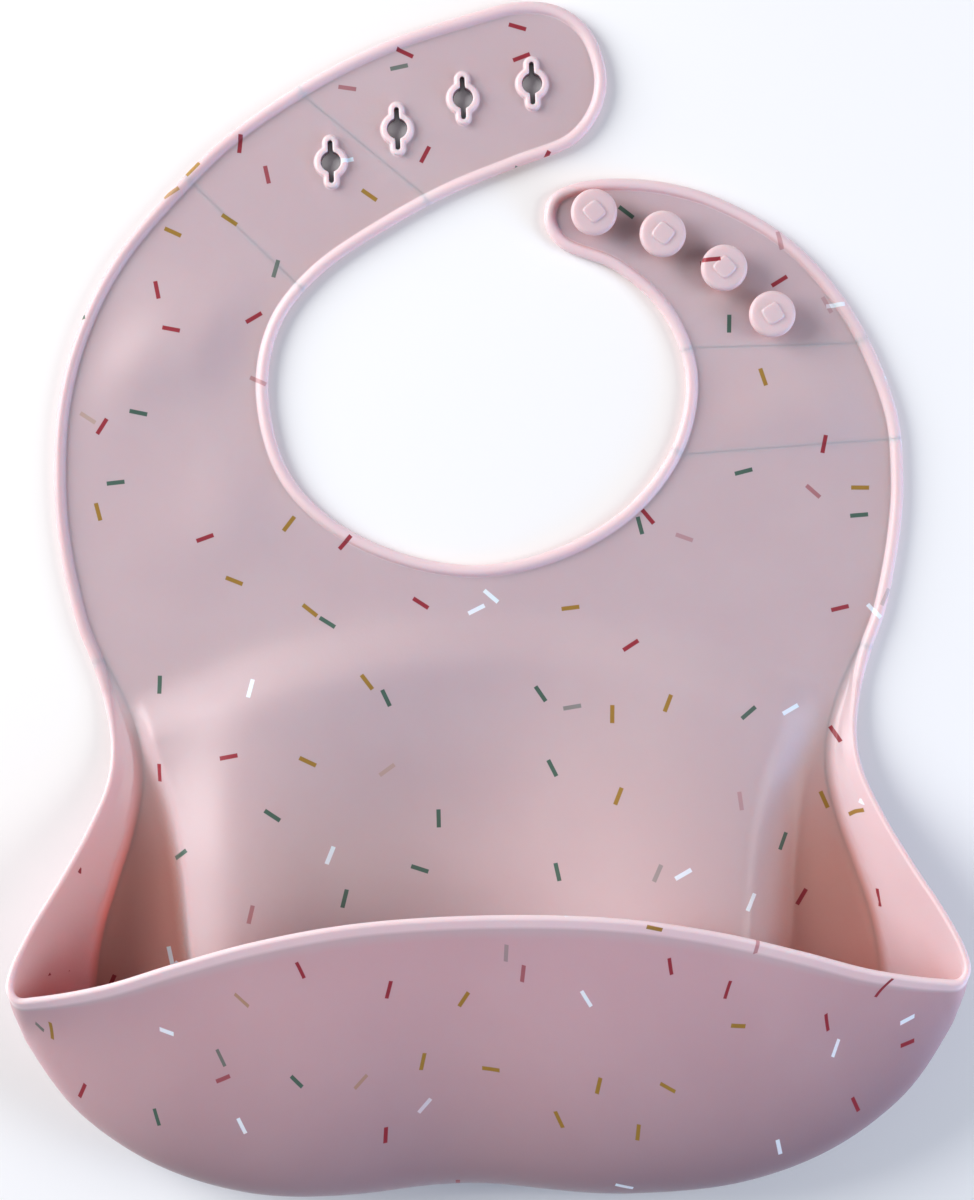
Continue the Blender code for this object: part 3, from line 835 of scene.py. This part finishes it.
def build_skin():
    bead = Bead()
    walls = Walls(bead)
    collars = Collars()
    seams = make_seams(bead)
    sheet = Sheet(bead, walls, collars, list(seams.values()))
    skin = Skin()

    def region_of_column(column):
        name = "pocket" if column >= bead.side else "panel"
        for own, seam in seams.items():
            if seam.start <= column < seam.end:
                name = own
        return name

    # where the walls lie on the pattern: rolled out from the foot inside, and round the front outside
    foot, rim = walls.outer[:, 0, :2], bead.middle[bead.columns, :2]
    away = unit(rim - foot)
    inner_rise = np.stack([along(column) for column in walls.inner])
    outer_rise = np.stack([along(column) for column in walls.outer])
    bead_rise = np.stack([along(column) for column in bead.grid])
    round_front = along(bead.wall)
    inner_print = foot[:, None] + away[:, None] * inner_rise[..., None]
    # the first stations' walls are too low for that and carry the pattern as seen from the front
    rolled = soft_step((walls.station - 1.0) / 3.0)[:, None, None]
    inner_print = walls.inner[..., :2] + (inner_print - walls.inner[..., :2]) * rolled
    outer_print = np.stack([np.broadcast_to(round_front[:, None], outer_rise.shape), outer_rise], axis=2)
    outer_print = outer_print + np.array([1000.0, 0.0])
    on_side = walls.station < CORNER
    outer_print[on_side] = (foot[:, None] + away[:, None] * outer_rise[..., None])[on_side] + [2000.0, 0.0]

    # the bead
    rows = bead.rows
    faces = grid_faces(bead.count, rows, closed=True)
    prints = bead.grid[..., :2].copy()
    for k, column in enumerate(bead.columns[:-1]):
        if bead.station[column] < CORNER:
            reach = inner_rise[k, -1] + bead_rise[column]
            prints[column] += (foot[k] + away[k] * reach[:, None] - prints[column]) * rolled[k]
        else:
            reach = outer_rise[k, -1] + bead_rise[column, -1] - bead_rise[column]
            prints[column] = np.column_stack([np.full(rows, 1000 + round_front[k]), reach])
    column_of = [face[0] // rows for face in faces]
    row_of = [face[0] % rows for face in faces]
    on_chest = np.arange(bead.count) < bead.side
    on_front = bead.station > CORNER + 1.2
    printed = [float(on_front[c] or (on_chest[c] and r < 14)) for c, r in zip(column_of, row_of)]
    on_bead = (np.arange(rows) > 0) & (np.arange(rows) < rows - 1)
    # the bead is paler where it is thick; painted light makes it palest along the pocket's lip, and painted shade makes
    # the chest bead less pale towards its left end
    by_column = np.where(bead.station < 0, 0.85, 0.6 + 0.4 * soft_step((bead.station - 5.5) / 2.0))
    by_column = by_column - 0.5 * soft_step((-40.0 - bead.middle[:, 0]) / 40.0) * (bead.station < 0)
    thick_and_lit = (by_column[:, None] * on_bead).ravel()
    regions = [region_of_column(c) for c in column_of]
    bead_first = skin.add(bead.grid, prints, faces, printed, regions, thick_and_lit=thick_and_lit)

    # the walls of the pocket
    faces = grid_faces(len(bead.columns), walls.rows)
    station = [walls.station[face[0] // walls.rows] for face in faces]
    pocket = ["pocket"] * len(faces)
    # painted light and shade: the foot of the walls is deep red lower in the pocket
    deep = (1 - soft_step(inner_rise / DEEP_RISE)) * down_pocket(walls.inner[:, :1, 1])
    # painted light: the inner walls are paler above the channel's deep red
    thick_and_lit = 0.6 * soft_step(inner_rise / DEEP_RISE)
    printed = [float(s < 6) for s in station]
    skin.add(walls.inner, inner_print, faces, printed, pocket, thick_and_lit=thick_and_lit.ravel(), deep=deep.ravel())
    outer = np.tile(np.arange(walls.rows) < walls.rows - 1, len(bead.columns))
    # painted shade: the pocket's outer side darkens towards the floor, less towards its left end and more towards its
    # right
    low = 1 - soft_step((walls.outer[..., 2] - 6.0) / 34.0)
    across = walls.outer[..., 0]
    low *= 0.7 + 0.3 * soft_step(across / 60.0) - 0.6 * soft_step((-70.0 - across) / 40.0)
    high = [face[0] % walls.rows > 0.6 * walls.rows for face in faces]
    printed = [float(s < 6 or s > (CORNER + 1.3 if up else CORNER + 0.5)) for up, s in zip(high, station)]
    skin.add(walls.outer, outer_print, faces, printed, pocket, outer=outer, low=low.ravel())

    # the sheet
    triangles = [tuple(t) for t in sheet.triangles]
    regions = regions_of(seams, bead, sheet.flat[sheet.triangles].mean(1))
    # painted light and shade: the back wall reddens a little lower in the pocket and fully in the channel round it
    deep = (0.10 + 0.90 * (1 - dropped(sheet.flat)) ** 3) * down_pocket(sheet.flat[:, 1])
    top = skin.add(sheet.top, sheet.flat, triangles, [1.0] * len(triangles), regions, deep=deep)
    back = skin.add(sheet.back, sheet.flat, triangles, [0.0] * len(triangles), regions)

    # the collars
    for grid in collars.grids:
        faces = grid_faces(len(grid), collars.rows, closed=True)
        name = regions_of(seams, bead, grid[:1, 0, :2])[0]
        printed = [float(face[0] % collars.rows < 10) for face in faces]
        # the collar's rim is paler where it is thick; the walls of its hole get the outer side's redder pink and
        # painted shade
        thick_and_lit = np.tile(np.arange(collars.rows) % (collars.rows - 1) > 0, len(grid))
        hole = np.tile(np.arange(collars.rows) > 9, len(grid))
        skin.add(
            grid, grid[..., :2], faces, printed, [name] * len(faces), thick_and_lit=thick_and_lit & ~hole, outer=hole, low=hole
        )

    # the cuts between pieces
    cuts = []
    for (name, seam), line in zip(seams.items(), sheet.cuts):
        faces = [(top + a, top + b, back + b, back + a) for a, b in zip(line, line[1:])]
        for column in (seam.start, seam.end):
            faces.append(tuple(bead_first + column * rows + r for r in range(rows)))
        outer = {"eyelet_strap_upper": "eyelet_strap_lower", "button_strap_upper": "button_strap_lower"}
        cuts.append((name, outer.get(name, "panel"), faces))
    line = range(bead.side, bead.side + len(bead.columns) - 1)
    line = [*line, 0]
    faces = [(top + a, top + b, back + b, back + a) for a, b in zip(line, line[1:])]
    for column in (bead.side, 0):
        faces.append(tuple(bead_first + column * rows + r for r in range(rows)))
    cuts.append(("pocket", "panel", faces))
    return skin, cuts


def wound(points, faces):
    """The faces with their corners in order so that they point out of the closed skin, and the
    skin's normal at each point."""
    mesh = bpy.data.meshes.new("skin")
    mesh.from_pydata(points * MM, [], [tuple(corners) for corners, _, _ in faces])
    work = bmesh.new()
    work.from_mesh(mesh)
    bmesh.ops.recalc_face_normals(work, faces=work.faces)
    work.to_mesh(mesh)
    open_edges = sum(len(edge.link_faces) != 2 for edge in work.edges)
    print("SKIN", len(points), "points", len(faces), "faces", open_edges, "open edges")
    work.free()
    normals = np.zeros(3 * len(points))
    mesh.vertex_normals.foreach_get("vector", normals)
    orders = [tuple(polygon.vertices) for polygon in mesh.polygons]
    bpy.data.meshes.remove(mesh)
    return orders, normals.reshape(-1, 3)


def make_pieces(skin, cuts):
    """The skin's pieces as closed meshes, shaded as the whole skin is."""
    points, tones, faces, same = skin.welded()
    orders, normals = wound(points, faces)
    pieces = {}
    for name in dict.fromkeys(region for _, _, region in faces):
        own = [k for k, (_, _, region) in enumerate(faces) if region == name]
        walls = [
            tuple(dict.fromkeys(int(same[k]) for k in face))
            for first, second, cut in cuts
            if name in (first, second)
            for face in cut
        ]
        walls = [face for face in walls if len(face) > 2]
        corners = [orders[k] for k in own] + walls
        used = sorted({k for face in corners for k in face})
        number = {k: n for n, k in enumerate(used)}
        mesh = bpy.data.meshes.new(name)
        mesh.from_pydata(points[used] * MM, [], [tuple(number[k] for k in face) for face in corners])
        work = bmesh.new()
        work.from_mesh(mesh)
        bmesh.ops.recalc_face_normals(work, faces=work.faces)
        open_edges = sum(len(edge.link_faces) != 2 for edge in work.edges)
        print("PIECE", name, len(corners), "faces", open_edges, "open edges")
        work.to_mesh(mesh)
        work.free()
        mesh.shade_smooth()
        for tone, values in zip(("thick_and_lit", "outer", "deep", "low"), tones[used].T):
            mesh.attributes.new(tone, "FLOAT", "POINT").data.foreach_set("value", values)
        prints = mesh.uv_layers.new(name="print").data
        printed = mesh.attributes.new("printed", "FLOAT", "FACE").data
        shading = []
        for n, polygon in enumerate(mesh.polygons):
            skin_face = faces[own[n]] if n < len(own) else None
            printed[n].value = skin_face[1] if skin_face else 0.0
            for loop in polygon.loop_indices:
                k = used[mesh.loops[loop].vertex_index]
                if skin_face:
                    prints[loop].uv = skin_face[0][k] * MM
                    shading.append(normals[k])
                else:
                    shading.append(polygon.normal)
        mesh.normals_split_custom_set([tuple(n) for n in shading])
        pieces[name] = bpy.data.objects.new(name, mesh)
        bpy.context.scene.collection.objects.link(pieces[name])
    return pieces


# ---------------------------------------------------------------- studs

# half a stud's section: radius and height, from the sheet up and over the head
STUD = [
    (3.3, 1.5),
    (2.8, 1.7),
    (2.55, 2.1),
    (2.5, 2.6),
    (2.5, 4.3),
    (2.62, 4.6),
    (2.95, 4.75),
    (4.7, 4.8),
    (5.2, 4.86),
    (5.55, 5.1),
    (5.72, 5.5),
    (5.75, 5.9),
    (5.74, 6.4),
    (5.66, 6.8),
    (5.48, 7.15),
    (5.2, 7.4),
    (4.85, 7.54),
    (4.4, 7.6),
    (3.6, 7.6),
]
PAD = [(2.62, 7.6), (2.4, 7.62), (2.28, 7.72), (2.2, 7.95), (2.1, 8.06), (1.92, 8.1), (1.2, 8.1), (0.5, 8.1)]
AROUND = 72


def ring(radius, power):
    """A superellipse: a circle at power 2, a square with round corners above it."""
    turn = 2 * math.pi * np.arange(AROUND) / AROUND
    reach = (np.abs(np.cos(turn)) ** power + np.abs(np.sin(turn)) ** power) ** (-1 / power)
    return radius * reach[:, None] * np.column_stack([np.cos(turn), np.sin(turn)])


def make_stud(number, turn):
    """A mushroom stud with a rounded head and a small square pad on top."""
    rings = [(ring(radius, 2.0), z) for radius, z in STUD] + [(ring(radius, 4.5), z) for radius, z in PAD]
    place = middle_of(f"button_stud_{number}")
    work = bmesh.new()
    loops = [
        [work.verts.new((*(place + turned(outline, turn)[k]) * MM, z * MM)) for k in range(AROUND)]
        for outline, z in rings
    ]
    for low, high in zip(loops, loops[1:]):
        for k in range(AROUND):
            work.faces.new((low[k], low[(k + 1) % AROUND], high[(k + 1) % AROUND], high[k]))
    work.faces.new(loops[0][::-1])
    work.faces.new(loops[-1])
    bmesh.ops.recalc_face_normals(work, faces=work.faces)
    mesh = bpy.data.meshes.new(f"stud_{number}")
    layer = work.loops.layers.uv.new("print")
    for face in work.faces:
        for loop in face.loops:
            loop[layer].uv = loop.vert.co[:2]
    work.to_mesh(mesh)
    work.free()
    mesh.shade_smooth()
    thick_and_lit = mesh.attributes.new("thick_and_lit", "FLOAT", "POINT").data
    thick_and_lit.foreach_set("value", [0.55] * len(mesh.vertices))
    printed = mesh.attributes.new("printed", "FLOAT", "FACE").data
    for polygon in mesh.polygons:
        printed[polygon.index].value = float(polygon.center.z > 6.5 * MM)
    stud = bpy.data.objects.new(f"stud_{number}", mesh)
    bpy.context.scene.collection.objects.link(stud)
    return stud


# ---------------------------------------------------------------- silicone

PINK = (0.585, 0.455, 0.482)
PINK_OUTER = (0.61, 0.405, 0.44)  # a redder pink painted on the outer side of the pocket, for light through its wall and the shade on it
PINK_THICK_AND_LIT = (0.815, 0.655, 0.685)  # where the silicone is thick, and painted light on the pocket's lip and side walls
PINK_DEEP = (0.64, 0.33, 0.285)  # at the bottom of the channel, where light comes through the walls
HOLLOW_SHADE = (0.95, 0.70, 0.65)  # painted shade: what the pink is multiplied by in a hollow
LOW_SHADE = (0.28, 0.255, 0.30)  # painted shade, low on the outer side near the floor and in the eyelets' holes
ROUGHNESS = 0.38
ROD = (2.25 * MM, 0.53 * MM)  # half length and half width of a printed rod
SPRINKLES = [
    (0.00, (0.30, 0.008, 0.025)),
    (0.30, (0.045, 0.12, 0.085)),
    (0.54, (0.34, 0.19, 0.012)),
    (0.78, (0.84, 0.89, 1.0)),
]


class Nodes:
    """Makes and links the shader nodes of one material."""

    def __init__(self, tree):
        self.tree = tree

    def new(self, kind, **settings):
        node = self.tree.nodes.new(kind)
        for name, value in settings.items():
            setattr(node, name, value)
        return node

    def link(self, source, target):
        self.tree.links.new(source, target)

    def feed(self, target, value):
        if isinstance(value, bpy.types.NodeSocket):
            self.link(value, target)
        else:
            target.default_value = value

    def maths(self, operation, *values):
        node = self.new("ShaderNodeMath", operation=operation)
        for socket, value in zip(node.inputs, values):
            self.feed(socket, value)
        return node.outputs[0]

    def vector(self, operation, *values):
        node = self.new("ShaderNodeVectorMath", operation=operation)
        for socket, value in zip(node.inputs, values):
            self.feed(socket, value)
        return node.outputs[0]

    def smooth_range(self, value, low, high, to_low=0.0, to_high=1.0):
        node = self.new("ShaderNodeMapRange", interpolation_type="SMOOTHSTEP")
        for socket, own in zip(node.inputs, (value, low, high, to_low, to_high)):
            self.feed(socket, own)
        return node.outputs[0]

    def mix(self, factor, first, second, blend="MIX"):
        node = self.new("ShaderNodeMix", data_type="RGBA", blend_type=blend)
        # a Mix node has sockets for each kind of data: the factor is its first, colours its seventh
        self.feed(node.inputs[0], factor)
        self.feed(node.inputs[6], first)
        self.feed(node.inputs[7], second)
        return node.outputs[2]

    def multiply(self, factor, first, second):
        return self.mix(factor, first, second, "MULTIPLY")


def sprinkle_layer(nodes, place, cell, shift, share):
    """Where one layer of scattered rods lies, and the random colour of each rod."""
    moved = nodes.vector("ADD", place, (shift, shift * 0.7, 0.0))
    cells = nodes.new("ShaderNodeTexVoronoi", voronoi_dimensions="2D", feature="F1")
    cells.inputs["Scale"].default_value = 1 / cell
    cells.inputs["Randomness"].default_value = 0.78
    nodes.link(moved, cells.inputs["Vector"])
    chance = nodes.new("ShaderNodeSeparateColor")
    nodes.link(cells.outputs["Color"], chance.inputs[0])
    apart = nodes.vector("SUBTRACT", moved, cells.outputs["Position"])
    turn = nodes.new("ShaderNodeVectorRotate", rotation_type="Z_AXIS")
    nodes.link(apart, turn.inputs["Vector"])
    nodes.link(nodes.maths("MULTIPLY", chance.outputs[0], 2 * math.pi), turn.inputs["Angle"])
    axes = nodes.new("ShaderNodeSeparateXYZ")
    nodes.link(turn.outputs[0], axes.inputs[0])
    soft = 0.07 * MM
    long = nodes.smooth_range(nodes.maths("ABSOLUTE", axes.outputs[0]), ROD[0] - soft, ROD[0] + soft, 1.0, 0.0)
    wide = nodes.smooth_range(nodes.maths("ABSOLUTE", axes.outputs[1]), ROD[1] - soft, ROD[1] + soft, 1.0, 0.0)
    there = nodes.maths("LESS_THAN", chance.outputs[1], share)
    rod = nodes.maths("MULTIPLY", nodes.maths("MULTIPLY", long, wide), there)
    return rod, chance


def sprinkles(nodes, base):
    """The base colour with rods of a few colours printed on it, some of them fainter."""
    place = nodes.new("ShaderNodeUVMap", uv_map="print").outputs[0]
    printed = nodes.new("ShaderNodeAttribute", attribute_name="printed").outputs["Fac"]
    for cell, shift, share in ((0.0225, 3.1, 0.84), (0.028, 7.7, 0.8)):
        rod, chance = sprinkle_layer(nodes, place, cell, shift, share)
        ramp = nodes.new("ShaderNodeValToRGB")
        ramp.color_ramp.interpolation = "CONSTANT"
        for stop, (at, colour) in zip(
            [ramp.color_ramp.elements[0]] + [ramp.color_ramp.elements.new(at) for at, _ in SPRINKLES[1:]],
            SPRINKLES,
        ):
            stop.position = at
            stop.color = (*colour, 1.0)
        nodes.link(chance.outputs[2], ramp.inputs[0])
        ink = nodes.smooth_range(nodes.maths("FRACT", nodes.maths("MULTIPLY", chance.outputs[2], 37.0)), 0.0, 0.2, 0.3, 0.95)
        cover = nodes.maths("MULTIPLY", nodes.maths("MULTIPLY", rod, ink), printed)
        base = nodes.mix(cover, base, ramp.outputs[0])
    return base


def silicone(name):
    """Matte silicone: paler where it is thick, with painted light on the pocket's lip and side walls,
    redder on the pocket's outer side, deeper where light only reaches it through itself, with painted
    shade in hollows, low on the pocket's outer side and in the eyelets' holes, a slightly uneven
    colour, a satin sheen and a very fine grain."""
    material = bpy.data.materials.new(name)
    material.use_nodes = True
    tree = material.node_tree
    nodes = Nodes(tree)
    shader = tree.nodes["Principled BSDF"]
    where = nodes.new("ShaderNodeUVMap", uv_map="print").outputs[0]
    cloud = nodes.new("ShaderNodeTexNoise", noise_dimensions="2D")
    cloud.inputs["Scale"].default_value = 26.0
    cloud.inputs["Detail"].default_value = 3.0
    nodes.link(where, cloud.inputs["Vector"])
    grain = nodes.new("ShaderNodeTexNoise", noise_dimensions="2D")
    grain.inputs["Scale"].default_value = 1400.0
    grain.inputs["Detail"].default_value = 2.0
    nodes.link(where, grain.inputs["Vector"])

    outer = nodes.new("ShaderNodeAttribute", attribute_name="outer").outputs["Fac"]
    thick_and_lit = nodes.new("ShaderNodeAttribute", attribute_name="thick_and_lit").outputs["Fac"]
    # painted light and shade: a redder pink on the outer side of the pocket and in the eyelets' holes
    base = nodes.mix(outer, (*PINK, 1.0), (*PINK_OUTER, 1.0))
    # paler where the silicone is thick, and painted light on the pocket's lip and side walls
    base = nodes.mix(thick_and_lit, base, (*PINK_THICK_AND_LIT, 1.0))
    bottom = nodes.new("ShaderNodeAttribute", attribute_name="deep").outputs["Fac"]
    base = nodes.mix(bottom, base, (*PINK_DEEP, 1.0))
    # painted shade: the pink turns darker and redder in hollows, where ambient occlusion finds them
    hollow = nodes.new("ShaderNodeAmbientOcclusion", samples=8)
    hollow.inputs["Distance"].default_value = 0.03
    deep = nodes.smooth_range(hollow.outputs["AO"], 0.15, 0.8, 1.0, 0.0)
    # painted shade low on the pocket's outer side and in the eyelets' holes
    low = nodes.new("ShaderNodeAttribute", attribute_name="low").outputs["Fac"]
    shaded_hollow = nodes.multiply(deep, base, (*HOLLOW_SHADE, 1.0))
    shaded_low = nodes.multiply(low, base, (*LOW_SHADE, 1.0))
    base = nodes.mix(outer, shaded_hollow, shaded_low)
    mottle = nodes.smooth_range(cloud.outputs["Fac"], 0.35, 0.68, 0.6, 0.0)
    base = nodes.multiply(mottle, base, (0.965, 0.94, 0.95, 1.0))
    nodes.link(sprinkles(nodes, base), shader.inputs["Base Color"])

    dull = nodes.smooth_range(cloud.outputs["Fac"], 0.3, 0.7, ROUGHNESS - 0.03, ROUGHNESS + 0.04)
    fine = nodes.smooth_range(grain.outputs["Fac"], 0.3, 0.7, -0.02, 0.02)
    nodes.link(nodes.maths("ADD", dull, fine), shader.inputs["Roughness"])
    bump = nodes.new("ShaderNodeBump")
    bump.inputs["Strength"].default_value = 0.12
    bump.inputs["Distance"].default_value = 0.0001
    nodes.link(grain.outputs["Fac"], bump.inputs["Height"])
    nodes.link(bump.outputs[0], shader.inputs["Normal"])
    shader.inputs["IOR"].default_value = 1.41
    shader.inputs["Subsurface Weight"].default_value = 0.6
    shader.inputs["Subsurface Radius"].default_value = (1.0, 0.42, 0.34)
    shader.inputs["Subsurface Scale"].default_value = 3.5 * MM
    shader.inputs["Sheen Weight"].default_value = 0.1
    shader.inputs["Sheen Roughness"].default_value = 0.4
    return material


# ---------------------------------------------------------------- stage


def area_light(name, place, aim, size, power, colour):
    data = bpy.data.lights.new(name, "AREA")
    data.shape = "DISK"
    data.size = size
    data.energy = power
    data.color = colour
    light = bpy.data.objects.new(name, data)
    light.location = place
    light.rotation_euler = (Vector(aim) - Vector(place)).to_track_quat("-Z", "Y").to_euler()
    bpy.context.scene.collection.objects.link(light)


def make_stage():
    mesh = bpy.data.meshes.new("floor")
    size = 3.0
    mesh.from_pydata([(-size, -size, 0), (size, -size, 0), (size, size, 0), (-size, size, 0)], [], [(0, 1, 2, 3)])
    floor = bpy.data.objects.new("floor", mesh)
    floor.location.z = -0.0002
    bpy.context.scene.collection.objects.link(floor)
    material = bpy.data.materials.new("floor")
    material.use_nodes = True
    shader = material.node_tree.nodes["Principled BSDF"]
    shader.inputs["Base Color"].default_value = (0.92, 0.92, 0.92, 1.0)
    shader.inputs["Roughness"].default_value = 0.8
    mesh.materials.append(material)

    world = bpy.data.worlds.new("studio")
    world.use_nodes = True
    background = world.node_tree.nodes["Background"]
    background.inputs["Color"].default_value = (0.93, 0.95, 1.0, 1.0)
    background.inputs["Strength"].default_value = 0.24
    bpy.context.scene.world = world
    area_light("key", (-0.96, 0.42, 0.50), (0, 0, 0), 0.9, 19.0, (1.0, 0.99, 0.99))
    area_light("right", (0.93, -0.05, 0.66), (0, 0, 0), 0.6, 5.4, (1.0, 0.96, 0.96))
    area_light("low", (1.05, -0.44, 0.28), (0, -0.02, 0), 0.5, 6.8, (0.32, 0.58, 1.0))


def make_camera():
    """Straight above the bib, turned a little, at the height that the photograph was taken from."""
    data = bpy.data.cameras.new("camera")
    data.lens = 72.0
    data.sensor_width = 36.0
    data.clip_start = 0.01
    camera = bpy.data.objects.new("camera", data)
    camera.location = (0.0015, -0.0016, 0.6)
    camera.rotation_euler = (0.0, 0.0, math.radians(-1.15))
    bpy.context.scene.collection.objects.link(camera)
    bpy.context.scene.camera = camera
    bpy.context.scene.view_settings.view_transform = "Standard"


# ---------------------------------------------------------------- assembly

def towards(name, start, end):
    """The points before and after a joint's axis, across it, in metres."""
    place, way = hinge(name)
    return [(*((place + way * reach) * MM), 0.0) for reach in (start, end)]


def assemble():
    pieces = make_pieces(*build_skin())
    skin = silicone("silicone")
    for piece in pieces.values():
        piece.data.materials.append(skin)
    nodes = {
        "panel": ["chest_panel", "neckline_bead", "chest_bead_left", "chest_bead_right", "lower_panel"],
        "eyelet_strap_lower": ["eyelet_strap", "eyelet_strap_bead_outer", "eyelet_strap_bead_inner", "eyelet_collar_1"],
        "eyelet_strap_upper": ["eyelet_tip", "eyelet_tip_bead", "eyelet_collar_2", "eyelet_collar_3", "eyelet_collar_4"],
        "button_strap_lower": ["button_strap", "button_strap_bead_outer", "button_strap_bead_inner"],
        "button_strap_upper": ["button_tip", "button_tip_bead"],
        "pocket": [
            "pocket_trough",
            "pocket_front",
            "pocket_lip",
            "gusset_left",
            "gusset_right",
            "gusset_bead_left",
            "gusset_bead_right",
        ],
    }
    for name, stood_for in nodes.items():
        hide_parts(*stood_for)

    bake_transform(pieces["panel"])
    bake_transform(pieces["eyelet_strap_lower"])
    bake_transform(pieces["eyelet_strap_upper"])
    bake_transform(pieces["button_strap_lower"])
    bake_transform(pieces["button_strap_upper"])
    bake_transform(pieces["pocket"])

    for number, turn in enumerate(STUD_TURNS, 1):
        stud = make_stud(number, turn)
        stud.data.materials.append(skin)
        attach(stud, "button_strap_end" if number < 3 else "button_strap_near")
        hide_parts(f"button_stud_{number}")


make_camera()
make_stage()
assemble()
